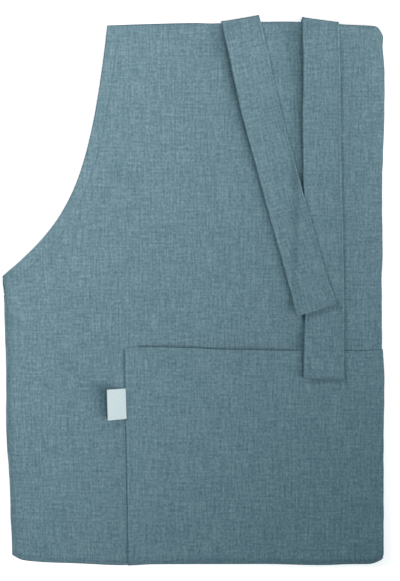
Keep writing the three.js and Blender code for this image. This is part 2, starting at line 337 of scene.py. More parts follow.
# The stage: a round floor whose rim rises in two steps, each so much wider, and the light from all round
FLOOR_SIDES, FLOOR_RADIUS, FLOOR_BELOW = 96, 7.0, 0.0001
Rim = namedtuple("Rim", "up wider")
FLOOR_RIMS = (Rim(0.4, 1.25), Rim(3.6, 1.12))
SKY_COLOUR, SKY_STRENGTH = (0.49, 0.87, 1.0, 1.0), 0.22

# The lamps: degrees up, degrees below the right, distance, radius, spread in degrees, watts, and their aim
Lamp = namedtuple("Lamp", "up below away soft spread power aim")
LAMPS = {
    "lamp_1": Lamp(22, 20, 4.0, 0.30, 30.0, 850.0, (-1.73, 1.72, 0.0)),
    "lamp_2": Lamp(34, 30, 4.0, 0.35, 32.5, 885.0, (-2.59, 1.23, 0.0)),
    "lamp_3": Lamp(48, 14, 4.0, 0.40, 50.0, 425.0, (-2.42, 1.23, 0.0)),
    "lamp_4": Lamp(62, 30, 4.0, 0.45, 54.0, 355.0, (-2.03, 1.17, 0.0)),
    "lamp_5": Lamp(80, 10, 4.0, 0.80, 30.5, 590.0, (-1.31, -0.32, 0.0)),
    "lamp_6": Lamp(25, 220, 4.0, 0.30, 48.0, 305.0, (-0.22, 0.48, 0.0)),
}
LAMP_COLOUR = (0.95, 0.837, 0.79)


class ApronSizes(bpy.types.PropertyGroup):
    """Sizes of the apron that a maker would change."""

    cloth: FloatProperty(
        name="Cloth", description="Thickness of one layer of linen", default=0.001, unit="LENGTH")
    double: FloatProperty(
        name="Strap cloth", description="Thickness of a strap", default=0.0012, unit="LENGTH")
    tab: FloatProperty(
        name="Label cloth", description="Thickness of the label", default=0.0008, unit="LENGTH")
    gap: FloatProperty(
        name="Gap", description="Air between two layers", default=0.0003, unit="LENGTH")
    bib_width: FloatProperty(
        name="Bib width", description="Top edge of the bib", default=0.311, unit="LENGTH")
    skirt_width: FloatProperty(
        name="Skirt width", description="Hem of the skirt", default=0.700, unit="LENGTH")
    length: FloatProperty(
        name="Length", description="Bib corner to hem", default=0.850, unit="LENGTH")
    strap_width: FloatProperty(
        name="Strap width", description="Width of a strap", default=0.040, unit="LENGTH")
    label_width: FloatProperty(
        name="Label width", description="Free end to seam", default=0.0200, unit="LENGTH")
    label_height: FloatProperty(
        name="Label height", description="Along the seam", default=0.0326, unit="LENGTH")
    hem_stitch: FloatProperty(
        name="Hem stitch", description="Hem stitch from the edge", default=0.0116, unit="LENGTH")
    seam_stitch: FloatProperty(
        name="Seam stitch", description="Seam stitch from the edge", default=0.0023, unit="LENGTH")
    strap_stitch: FloatProperty(
        name="Strap stitch", description="Strap stitch from the edge", default=0.0034, unit="LENGTH")
    strap_bead: FloatProperty(
        name="Strap edge", description="Rise of a strap's turned edge", default=0.0006, unit="LENGTH")
    strap_hem: FloatProperty(
        name="Strap end", description="Rise of a strap's turned end", default=0.0010, unit="LENGTH")
    mouth_hem: FloatProperty(
        name="Pocket hem", description="Depth of the pocket's hem", default=0.026, unit="LENGTH")
    mouth_lift: FloatProperty(
        name="Pocket mouth", description="Rise of the open mouth", default=0.0036, unit="LENGTH")
    relief: FloatProperty(
        name="Seam relief", description="Rise of a sewn edge", default=0.00022, unit="LENGTH")
    groove: FloatProperty(
        name="Stitch groove", description="How deep stitches draw in", default=0.00028, unit="LENGTH")
    stitch: FloatProperty(
        name="Stitch", description="Length of one stitch", default=0.0026, unit="LENGTH")
    thread: FloatProperty(
        name="Thread", description="Thickness of the thread", default=0.00042, unit="LENGTH")


class ApronColours(bpy.types.PropertyGroup):
    """Colours of the apron and its stage, scene linear."""

    dark: FloatVectorProperty(
        name="Dark yarn", description="Darkest linen yarn", subtype="COLOR", size=4,
        default=(0.091, 0.178, 0.223, 1.0))
    middle: FloatVectorProperty(
        name="Linen", description="Usual linen yarn", subtype="COLOR", size=4,
        default=(0.144, 0.250, 0.300, 1.0))
    light: FloatVectorProperty(
        name="Light yarn", description="Palest linen yarn", subtype="COLOR", size=4,
        default=(0.213, 0.336, 0.388, 1.0))
    thread: FloatVectorProperty(
        name="Thread", description="Sewing thread", subtype="COLOR", size=4,
        default=(0.160, 0.272, 0.322, 1.0))
    label: FloatVectorProperty(
        name="Label", description="Label weave", subtype="COLOR", size=4,
        default=(0.66, 0.805, 0.845, 1.0))
    floor: FloatVectorProperty(
        name="Floor", description="Studio floor", subtype="COLOR", size=4,
        default=(0.90, 0.90, 0.90, 1.0))


def ramp(value, start, end):
    """0 before start, 1 after end, smooth between."""
    s = np.clip((value - start) / (end - start), 0.0, 1.0)
    return s * s * (3.0 - 2.0 * s)


def strayed_edge(rows, at):
    """How far an edge strays at a place along it."""
    places = np.array([row.at for row in rows])
    shifts = np.array([row.shift for row in rows])
    i = np.clip(np.searchsorted(places, at) - 1, 0, len(rows) - 2)
    return shifts[i] + (shifts[i + 1] - shifts[i]) * ramp(at, places[i], places[i + 1])


def wobble(run, phase):
    """How far an edge wavers along its run."""
    return sum(w.height * np.sin(2 * math.pi * w.along * run + w.phase + phase) for w in WOBBLES)


class FoldedCloth:
    """Carries points of the flat pattern to where they lie in the folded apron."""

    def __init__(self, sizes):
        self.sizes = sizes
        self.pitch = sizes.cloth + sizes.gap
        self.side_radius = self.pitch / 2
        self.bottom_radius = LAYERS_BEHIND / 2 * self.pitch
        self.face = LAYERS_BEHIND * self.pitch + sizes.cloth / 2
        self.strap_radius = (sizes.cloth + sizes.double + 2 * sizes.gap) / 2

    def settled(self, y):
        """How much lower the face lies past the hem that is folded up behind it."""
        return SETTLE_DEPTH * ramp(y, SETTLE_FROM, SETTLE_FROM + SETTLE_RUN)

    def rise(self, x, y):
        """Slow rises and ripples of the face as it lies."""
        rise = sum(r.height * np.sin(2 * math.pi * (r.across * x + r.along * y) + r.phase) for r in RIPPLES)
        fall = np.clip((x - SWELL_CREST) / (SWELL_TO - SWELL_CREST), 0.0, 1.0)
        swell = ramp(x, SWELL_FROM, SWELL_CREST) * (1 - fall ** 2)
        rise = rise + SWELL_HEIGHT * swell * ramp(y, SWELL_LOW, SWELL_FULL)
        seam = np.interp(y, (BOTTOM_FOLD, POCKET_TOP), (POCKET_LEFT_LOW, POCKET_LEFT))
        ridge = ramp(x, seam - RIDGE_LEFT, seam - RIDGE_CREST) * (1 - ramp(x, seam, seam + RIDGE_RIGHT))
        beside_pocket = 1 - ramp(y, POCKET_TOP - RIDGE_BELOW, POCKET_TOP + RIDGE_ABOVE)
        rise = rise + RIDGE_HEIGHT * ridge * beside_pocket
        for row in STRAPS.values():
            beside = 1 - ramp(np.abs(x - row.x), END_HALF, END_HALF + END_SOFT)
            above = ramp(y, BIB_TOP - row.back - END_BELOW, BIB_TOP - row.back + END_ABOVE)
            rise = rise + END_HEIGHT * beside * above
        return rise

    def lying(self, x, y, z, drop=0.0):
        """Points with the rises of the cloth, which fade out downwards to the floor."""
        stack = self.face - self.settled(y)
        moved = np.maximum(self.rise(x, y) - drop, -SQUASHED * stack)
        return np.stack([x, y, np.maximum(z + moved * np.clip(z / stack, 0.0, 1.0), 0.0)], axis=-1)

    def drop(self, x, y):
        """How far the straight-folded cloth rounds down towards its outline, less where a strap holds it."""
        top = BIB_TOP + BIB_BOW * (1 - ((x - MIDDLE) / (self.sizes.bib_width / 2)) ** 2)
        half = self.sizes.strap_width / 2
        under_strap = sum(1 - ramp(np.abs(x - row.x), half, half + STRAP_CLIMB) for row in STRAPS.values())
        return sum(
            depth * (1 - np.clip(inside / reach, 0.0, 1.0)) ** 2
            for inside, depth, reach in (
                (x - LEFT_FOLD, LEFT_DROP, LEFT_DROP_REACH),
                (RIGHT_FOLD - x, RIGHT_DROP, RIGHT_DROP_REACH),
                (y - BOTTOM_FOLD, BOTTOM_DROP, BOTTOM_DROP_REACH),
                (top - y, TOP_DROP * (1 - STRAP_HOLDS * under_strap), TOP_DROP_REACH),
            )
        )

    def strayed(self, x, y):
        """The outline as it lies, from the straight-folded one."""
        left = strayed_edge(LEFT_EDGE, y) + wobble(y, LEFT_PHASE)
        left = left * (1 - ramp(x, LEFT_FOLD, LEFT_FOLD + SIDE_REACH))
        right = strayed_edge(RIGHT_EDGE, y) + wobble(y, RIGHT_PHASE)
        right = right * ramp(x, RIGHT_FOLD - SIDE_REACH, RIGHT_FOLD)
        lift = 0.0
        for corner in CORNERS:
            inside = np.maximum(0.0, (x - corner.x) * corner.inward)
            near = np.maximum(0.0, 1 - inside / corner.wide) ** corner.power
            lift = lift + corner.rise * near * (1 - ramp(np.abs(y - corner.edge), CORNER_FLAT, CORNER_REACH))
        lift = lift + strayed_edge(TOP_EDGE, x) * ramp(y, BIB_TOP - END_REACH, BIB_TOP)
        lift = lift + strayed_edge(BOTTOM_EDGE, x) * (1 - ramp(y, BOTTOM_FOLD, BOTTOM_FOLD + END_REACH))
        return x + left + right, y + lift

    def folded(self, u, v, t):
        """Points u, v of the pattern, t out from the middle of the cloth towards its front."""
        x, height = u, t
        for fold, side in ((LEFT_FOLD, -1), (RIGHT_FOLD, 1)):
            past = (u - fold) * side
            turn = np.clip(past / self.side_radius, 0.0, math.pi)
            flat = np.maximum(0.0, past - math.pi * self.side_radius)
            bent = fold + side * ((self.side_radius + t) * np.sin(turn) - flat)
            x = np.where(past > 0, bent, x)
            height = np.where(past > 0, (self.side_radius + t) * np.cos(turn) - self.side_radius, height)
        past = BOTTOM_FOLD - v
        turn = np.clip(past / self.bottom_radius, 0.0, math.pi)
        reach = height + self.bottom_radius
        flat = np.maximum(0.0, past - math.pi * self.bottom_radius)
        y = np.where(past > 0, BOTTOM_FOLD - reach * np.sin(turn) + flat, v)
        height = np.where(past > 0, reach * np.cos(turn) - self.bottom_radius, height - self.settled(v))
        drop = self.drop(x, y)
        x, y = self.strayed(x, y)
        return self.lying(x, y, self.face + height, drop)

    def support(self, x, y, crosses):
        """Height of the underside of a strap."""
        mouth = POCKET_TOP + STRAP_CLEAR
        on_pocket = self.pitch * (1 - ramp(y, mouth, mouth + STRAP_CLIMB))
        edge = STRAPS["tie_right"].x - self.sizes.strap_width / 2 - STRAP_CLEAR
        over = self.sizes.double + self.sizes.gap + PRESSED + RAISED
        on_strap = over * ramp(x, edge - STRAP_CLIMB, edge) * crosses
        top = self.face + self.sizes.cloth / 2 - self.settled(y)
        return top + self.sizes.gap + on_pocket + on_strap

    def strap(self, row, stands, sway, spread):
        """The function that carries points of a flat strap to where they lie.

        A point is a across the strap and up along it from the turn."""
        start, slope = math.radians(row.heading), math.radians(row.slope)
        bend = math.radians(row.end_heading - row.heading) / row.front
        radius, half = self.strap_radius, self.sizes.double / 2
        downs, heights = zip(*stands)

        def place(a, up, t):
            share = a / self.sizes.strap_width
            swayed = strayed_edge(sway, -up) + wobble(up, STRAP_PHASE * a)
            a = a * (1 + strayed_edge(spread, -up)) + swayed
            turned = start + bend * np.maximum(0.0, -up)
            over = np.maximum(0.0, up)
            x = (math.cos(start) - np.cos(turned)) / bend + a * np.cos(turned) - math.sin(start) * over
            y = (math.sin(start) - np.sin(turned)) / bend + a * np.sin(turned) + math.cos(start) * over
            along = math.cos(slope) * x + math.sin(slope) * y
            past = math.cos(slope) * y - math.sin(slope) * x
            turn = np.clip(past / radius, 0.0, math.pi)
            reach = (radius + t) * np.sin(turn) - np.maximum(0.0, past - math.pi * radius)
            bent = past > 0
            px = row.x + np.where(bent, math.cos(slope) * along - math.sin(slope) * reach, x)
            py = row.y + np.where(bent, math.sin(slope) * along + math.cos(slope) * reach, y)
            axis = self.face - SETTLE_DEPTH
            stand = np.interp(-up, downs, heights) * (0.5 - share)
            stand = stand + RAISED * ramp(-up, 0.0, RAISED_FROM)
            curl = row.curl * (CURL_LEFT + CURL_RIGHT * (0.5 + share) ** 2)
            stand = stand + curl * ramp(-up, row.front - CURL_REACH, row.front)
            flat = self.support(px, py, row.crosses) + half + stand + t
            return self.lying(px, py, np.where(bent, axis + (radius + t) * np.cos(turn), flat))

        return place

    def label(self, a, b, t):
        """Points of the flat label, a across and b up from its middle, to where they lie."""
        turn = math.radians(LABEL_TURN)
        held = 0.5 + a / self.sizes.label_width
        low = 0.5 - b / self.sizes.label_height
        high = (1 - low) ** 2
        u = LABEL_X + a * math.cos(turn) - b * math.sin(turn)
        v = LABEL_Y + a * math.sin(turn) + b * math.cos(turn)
        v = v + LABEL_DRAWN * held + LABEL_DRAWN_LOW * held * low
        off = LABEL_OFF + LABEL_TOP_OFF * high
        off = off + (1 - held) ** LABEL_BEND * (LABEL_FREE_OFF + LABEL_FREE_TOP * high)
        return self.folded(u, v, t + off)


def steps(start, end, size):
    """Even stations from start to end, no more than a size apart, without the first."""
    count = max(1, math.ceil(abs(end - start) / size))
    return np.linspace(start, end, count + 1)[1:]


def between(start_edge, end_edge, size, near_start, near_end):
    """Stations between two edges, with the lines that each edge needs."""
    first = start_edge + np.array(near_start)
    last = (end_edge - np.array(near_end))[::-1]
    return np.concatenate([first, steps(first[-1], last[0], size)[:-1], last])


def half_width(sizes):
    """The function that gives half the panel's width at a height v, and the slope of its edge there."""
    s = np.linspace(0.0, 1.0, ARMHOLE_POINTS)
    a, b, c, d = (np.array(p) for p in ARMHOLE_CURVE)
    bezier = (
        np.outer((1 - s) ** 3, a)
        + np.outer(3 * (1 - s) ** 2 * s, b)
        + np.outer(3 * (1 - s) * s ** 2, c)
        + np.outer(s ** 3, d)
    )
    v = (BIB_TOP - bezier[:, 1])[::-1]
    half = (sizes.bib_width / 2 + bezier[:, 0])[::-1]
    slope = np.gradient(half, v)

    def width(at):
        return np.interp(at, v, half), np.where(at < v[0], 0.0, np.interp(at, v, slope))

    return width


def round_rim(distance, half, reach):
    """Half the thickness of cloth near a turned edge that is rounded over a reach."""
    s = np.clip(distance / reach, 0.0, 1.0)
    return half * np.sqrt(s * (2 - s))


def bead(distance, crest, width, rise):
    """Relief of a turned edge that stands highest at its crest and falls off inwards."""
    return rise * np.exp(-np.maximum(0.0, distance - crest) / width) * ramp(distance, 0.0, crest)


def stitch_groove(distance, stitch, depth, width):
    """How far a line of stitches draws the cloth in."""
    return depth * np.exp(-(((distance - stitch) / width) ** 2))


def hemmed(distance, sizes):
    """Relief of a hem: thickest at its edge, drawn in by its stitch line."""
    rise = HEM_RELIEF * sizes.relief * np.clip(1 - distance / sizes.hem_stitch, 0.0, 1.0)
    rise = rise * ramp(distance, 0.0, EDGE_ROUND)
    return rise - stitch_groove(distance, sizes.hem_stitch, sizes.groove, GROOVE_WIDTH)


def sewn(distance, stitch, sizes):
    """Relief of a sewn edge: a low rise out to the stitch line, which draws the cloth in."""
    rise = sizes.relief * (1 - ramp(distance, stitch + PAST_STITCH, stitch + PAST_STITCH_END))
    rise = rise * ramp(distance, 0.0, EDGE_ROUND)
    return rise - stitch_groove(distance, stitch, sizes.groove, GROOVE_WIDTH)


def smooth_piece(name, points, faces, material):
    """A smooth piece with one material, linked to the scene."""
    mesh = bpy.data.meshes.new(name)
    mesh.from_pydata(points, [], faces)
    mesh.polygons.foreach_set("use_smooth", np.ones(len(faces), bool))
    mesh.materials.append(material)
    mesh.update()
    piece = bpy.data.objects.new(name, mesh)
    bpy.context.scene.collection.objects.link(piece)
    return piece


def grid_faces(grid):
    """Faces over a grid of points, with each corner cell cut in two from its corner."""
    cells = np.stack([grid[:-1, :-1], grid[:-1, 1:], grid[1:, 1:], grid[1:, :-1]], axis=-1)
    rows, columns = cells.shape[:2]
    faces = cells.reshape(-1, 4).tolist()
    for row, column, first in ((0, 0, 0), (0, columns - 1, 1), (rows - 1, columns - 1, 2), (rows - 1, 0, 3)):
        corner, after, across, before = np.roll(cells[row, column], -first).tolist()
        faces[row * columns + column] = [corner, after, across]
        faces.append([corner, across, before])
    return faces


def sheet_object(name, u, v, under, over, place, material):
    """A closed sheet over a grid of flat points, whose two sides meet round its rim."""
    rows, columns = u.shape
    count = rows * columns
    upper = np.arange(count).reshape(rows, columns)
    inner = np.zeros((rows, columns), bool)
    inner[1:-1, 1:-1] = True
    lower = upper.copy()
    lower[inner] = count + np.arange(inner.sum())
    points = np.concatenate([place(u, v, over).reshape(-1, 3), place(u, v, under)[inner]])
    front = grid_faces(upper)
    back = [face[::-1] for face in grid_faces(lower)]
    piece = smooth_piece(name, points.tolist(), front + back, material)
    flat = np.stack([u, v], axis=-1).reshape(-1, 2)
    corners = np.concatenate(front + [face[::-1] for face in front])
    weave = piece.data.uv_layers.new(name="weave")
    weave.uv.foreach_set("vector", flat[corners].astype(np.float32).ravel())
    return piece


def one_stitch():
    """Points and faces of one stitch of length 1, width 1 and height 1, modelled from a ball.

    The ball's faces come in another order each run, so each starts at its least point and they are sorted."""
    bpy.ops.object.select_all(action="DESELECT")
    bpy.ops.mesh.primitive_uv_sphere_add(
        segments=STITCH_SIDES, ring_count=STITCH_RINGS, radius=0.5, rotation=(0, math.pi / 2, 0))
    bpy.ops.object.transform_apply(location=False, rotation=True, scale=False)
    ball = bpy.context.object
    mesh = ball.data
    points = np.array([tuple(p.co) for p in mesh.vertices])
    faces = []
    for polygon in mesh.polygons:
        face = list(polygon.vertices)
        first = face.index(min(face))
        faces.append(face[first:] + face[:first])
    bpy.data.objects.remove(ball)
    bpy.data.meshes.remove(mesh)
    return points, sorted(faces)


def along_line(line, run, at):
    """Points at distances along a flat line, whose own points lie at the distances of its run."""
    return np.stack([np.interp(at, run, line[:, 0]), np.interp(at, run, line[:, 1])], -1)


def stitch_rows(name, lines, height, place, sizes):
    """A piece with a row of stitches along each flat line, at a height on the cloth."""
    shape, faces = one_stitch()
    all_points, all_faces = [], []
    for line in lines:
        line = np.array(line)
        leg = np.hypot(*np.diff(line, axis=0).T)
        run = np.concatenate([[0.0], np.cumsum(leg)])
        number = max(1, int(run[-1] / (sizes.stitch * STITCH_SPACING)))
        at = (np.arange(number) + 0.5) * run[-1] / number
        middle = along_line(line, run, at)
        way = along_line(line, run, at + STITCH_SPAN) - along_line(line, run, at - STITCH_SPAN)
        way = way / np.linalg.norm(way, axis=1)[:, None]
        along = shape[:, 0] * sizes.stitch
        across = shape[:, 1] * sizes.thread
        arch = sizes.thread * (shape[:, 2] + STITCH_HIGH - STITCH_SUNK * (2 * shape[:, 0]) ** 2)
        u = middle[:, :1] + way[:, :1] * along - way[:, 1:] * across
        v = middle[:, 1:] + way[:, 1:] * along + way[:, :1] * across
        placed = place(u, v, np.broadcast_to(height + arch, u.shape))
        for one in placed:
            start = len(all_points)
            all_points.extend(one.tolist())
            all_faces.extend([[start + k for k in face] for face in faces])
    piece = smooth_piece(name, all_points, all_faces, thread_material())
    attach(piece, BODY)
    return piece


def add_node(tree, kind, values=None, **settings):
    """A shader node with its settings and its unlinked inputs."""
    made = tree.nodes.new(kind)
    for key, value in settings.items():
        setattr(made, key, value)
    for key, value in (values or {}).items():
        made.inputs[key].default_value = value
    return made


def math_node(tree, operation, first, second=None):
    """A Math node on two values, each a socket or a number."""
    made = add_node(tree, "ShaderNodeMath", operation=operation)
    for socket, value in zip(made.inputs, (first, second)):
        if value is None:
            continue
        if isinstance(value, (int, float)):
            socket.default_value = value
        else:
            tree.links.new(value, socket)
    return made.outputs[0]


def yarn_noise(tree, vector, yarn):
    """Noise drawn out over a yarn's millimetres across and along."""
    scale = (MILLIMETRES / yarn.across, MILLIMETRES / yarn.along, 1.0)
    mapping = add_node(tree, "ShaderNodeMapping", {"Scale": scale})
    tree.links.new(vector, mapping.inputs["Vector"])
    noise = add_node(
        tree, "ShaderNodeTexNoise", {"Scale": 1.0, "Detail": yarn.detail, "Roughness": YARN_ROUGHNESS})
    tree.links.new(mapping.outputs[0], noise.inputs["Vector"])
    return noise.outputs[0]


def mottle(tree, scale, detail):
    """Noise on the piece's own coordinates."""
    place = add_node(tree, "ShaderNodeTexCoord").outputs["Object"]
    noise = add_node(tree, "ShaderNodeTexNoise", {"Scale": scale, "Detail": detail})
    tree.links.new(place, noise.inputs["Vector"])
    return noise.outputs[0]


def waves(tree, uv, axes, turn):
    """Waves along axes of the weave, by radians to the metre."""
    parts = add_node(tree, "ShaderNodeSeparateXYZ")
    tree.links.new(uv, parts.inputs[0])
    return [math_node(tree, "SINE", math_node(tree, "MULTIPLY", parts.outputs[axis], turn)) for axis in axes]


def tone(tree, shader, value, stops):
    """Colours a shader by a value; stops are (value, colour), from the lowest to the highest."""
    made = add_node(tree, "ShaderNodeValToRGB")
    scale = made.color_ramp.elements
    scale[0].position, scale[0].color = stops[0]
    scale[1].position, scale[1].color = stops[-1]
    for at, colour in stops[1:-1]:
        scale.new(at).color = colour
    tree.links.new(value, made.inputs[0])
    tree.links.new(made.outputs[0], shader.inputs["Base Color"])


def bump(tree, shader, height, strength, depth):
    """Bumps a shader by a height."""
    made = add_node(tree, "ShaderNodeBump", {"Strength": strength, "Distance": depth})
    tree.links.new(height, made.inputs["Height"])
    tree.links.new(made.outputs[0], shader.inputs["Normal"])


def shaded(colour, share):
    """A share of a colour."""
    return [share * c for c in colour[:3]] + [1.0]


def new_material(name):
    """A new material with its finish, its tree and its shader."""
    material = bpy.data.materials.new(name)
    material.use_nodes = True
    tree = material.node_tree
    shader = tree.nodes["Principled BSDF"]
    shader.inputs["Roughness"].default_value = FINISHES[name].roughness
    shader.inputs["Specular IOR Level"].default_value = FINISHES[name].gloss
    return material, tree, shader


def linen_material():
    """Slubbed plain weave: uneven yarns both ways, a fine grain and slow clouding."""
    found = bpy.data.materials.get("slubbed_linen")
    if found:
        return found
    colours = bpy.context.scene.apron_colours
    material, tree, shader = new_material("slubbed_linen")
    shader.inputs["Sheen Weight"].default_value = SHEEN
    shader.inputs["Sheen Roughness"].default_value = SHEEN_ROUGHNESS
    uv = add_node(tree, "ShaderNodeUVMap", uv_map="weave").outputs[0]
    shares = [math_node(tree, "MULTIPLY", yarn_noise(tree, uv, yarn), yarn.weight) for yarn in YARNS]
    mix = shares[0]
    for share in shares[1:]:
        mix = math_node(tree, "ADD", mix, share)
    stops = ((DARK_AT, colours.dark), (MIDDLE_AT, colours.middle), (LIGHT_AT, colours.light))
    tone(tree, shader, mix, stops)
    crossing = math_node(tree, "MULTIPLY", *waves(tree, uv, (0, 1), math.pi / WEAVE_PITCH))
    height = math_node(tree, "ADD", math_node(tree, "MULTIPLY", crossing, WEAVE_HEIGHT), mix)
    bump(tree, shader, height, WEAVE_BUMP, WEAVE_DEPTH)
    return material


def thread_material():
    """Twisted sewing thread, close to the linen in colour."""
    found = bpy.data.materials.get("sewing_thread")
    if found:
        return found
    colours = bpy.context.scene.apron_colours
    material, tree, shader = new_material("sewing_thread")
    twist = mottle(tree, THREAD_SCALE, THREAD_DETAIL)
    tone(tree, shader, twist, ((0.0, colours.middle), (1.0, colours.thread)))
    return material


def label_material():
    """Close white weave with fine ribs across the label."""
    colours = bpy.context.scene.apron_colours
    material, tree, shader = new_material("label_weave")
    uv = add_node(tree, "ShaderNodeUVMap", uv_map="weave").outputs[0]
    grain = yarn_noise(tree, uv, LABEL_YARN)
    shade = shaded(colours.label, LABEL_SHADE)
    tone(tree, shader, grain, ((LABEL_SHADE_AT, shade), (LABEL_PALE_AT, colours.label)))
    ribs = waves(tree, uv, (1,), 2 * math.pi / RIB_PITCH)[0]
    height = math_node(tree, "ADD", math_node(tree, "MULTIPLY", ribs, RIB_HEIGHT), grain)
    bump(tree, shader, height, RIB_BUMP, RIB_DEPTH)
    return material


def floor_material():
    """Matt white paint with a faint mottle, lit a little from within as a light table is."""
    colours = bpy.context.scene.apron_colours
    material, tree, shader = new_material("studio_floor")
    shade = shaded(colours.floor, FLOOR_SHADE)
    tone(tree, shader, mottle(tree, FLOOR_SCALE, FLOOR_DETAIL), ((0.0, shade), (1.0, colours.floor)))
    shader.inputs["Emission Color"].default_value = WHITE
    shader.inputs["Emission Strength"].default_value = FLOOR_GLOW
    return material


def finished(piece, node):
    """Rides a piece on the body and puts it in the place of its node."""
    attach(piece, BODY)
    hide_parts(node)


class APRON_OT_stage(bpy.types.Operator):
    """Add the floor, the lights and the camera straight above the apron"""

    bl_idname = "apron.stage"
    bl_label = "Stage"

    def execute(self, context):
        scene = context.scene
        bpy.ops.object.select_all(action="DESELECT")
        bpy.ops.mesh.primitive_circle_add(
            vertices=FLOOR_SIDES, radius=FLOOR_RADIUS, fill_type="NGON", location=(0, 0, -FLOOR_BELOW))
        floor = context.object
        floor.name = "studio_floor"
        bpy.ops.object.mode_set(mode="EDIT")
        bpy.ops.mesh.select_all(action="SELECT")
        for rim in FLOOR_RIMS:
            bpy.ops.mesh.extrude_region_move(TRANSFORM_OT_translate={"value": (0, 0, rim.up)})
            bpy.ops.transform.resize(value=(rim.wider, rim.wider, 1.0))
        bpy.ops.mesh.delete(type="FACE")
        bpy.ops.mesh.select_all(action="SELECT")
        bpy.ops.mesh.normals_make_consistent(inside=True)
        bpy.ops.object.mode_set(mode="OBJECT")
        bpy.ops.object.transform_apply(location=True, rotation=True, scale=True)
        floor.data.materials.append(floor_material())
        floor.visible_diffuse = False
        self.lights(scene)
        self.camera(scene)
        return {"FINISHED"}

    def lights(self, scene):
        """A faint sky, the lamps and a plain view of their light."""
        world = bpy.data.worlds.new("studio")
        scene.world = world
        world.use_nodes = True
        sky = world.node_tree.nodes["Background"].inputs
        sky["Color"].default_value = SKY_COLOUR
        sky["Strength"].default_value = SKY_STRENGTH
        for name, lamp in LAMPS.items():
            bpy.ops.object.light_add(type="SPOT", location=self.from_right(lamp.below, lamp.up, lamp.away))
            light = bpy.context.object
            light.name = name
            light.data.spot_size = math.radians(lamp.spread)
            light.data.spot_blend = 1.0
            light.data.shadow_soft_size = lamp.soft
            light.data.energy = lamp.power
            light.data.color = LAMP_COLOUR
            light.rotation_euler = (Vector(lamp.aim) - light.location).to_track_quat("-Z", "Y").to_euler()
        scene.view_settings.view_transform = "Standard"
        scene.view_settings.look = "None"

    def from_right(self, below, up, away):
        """A place round the apron: degrees below the right, degrees up, metres away."""
        below, up = math.radians(below), math.radians(up)
        return Vector((math.cos(below) * math.cos(up), -math.sin(below) * math.cos(up), math.sin(up))) * away

    def camera(self, scene):
        """A camera straight above that takes in the photograph's frame."""
        data = bpy.data.cameras.new("camera")
        camera = bpy.data.objects.new("camera", data)
        scene.collection.objects.link(camera)
        camera.location = (*FRAME_MIDDLE, CAMERA_HEIGHT)
        data.lens = data.sensor_width * CAMERA_HEIGHT / (FRAME_HIGH * METRES_A_PIXEL)
        scene.camera = camera


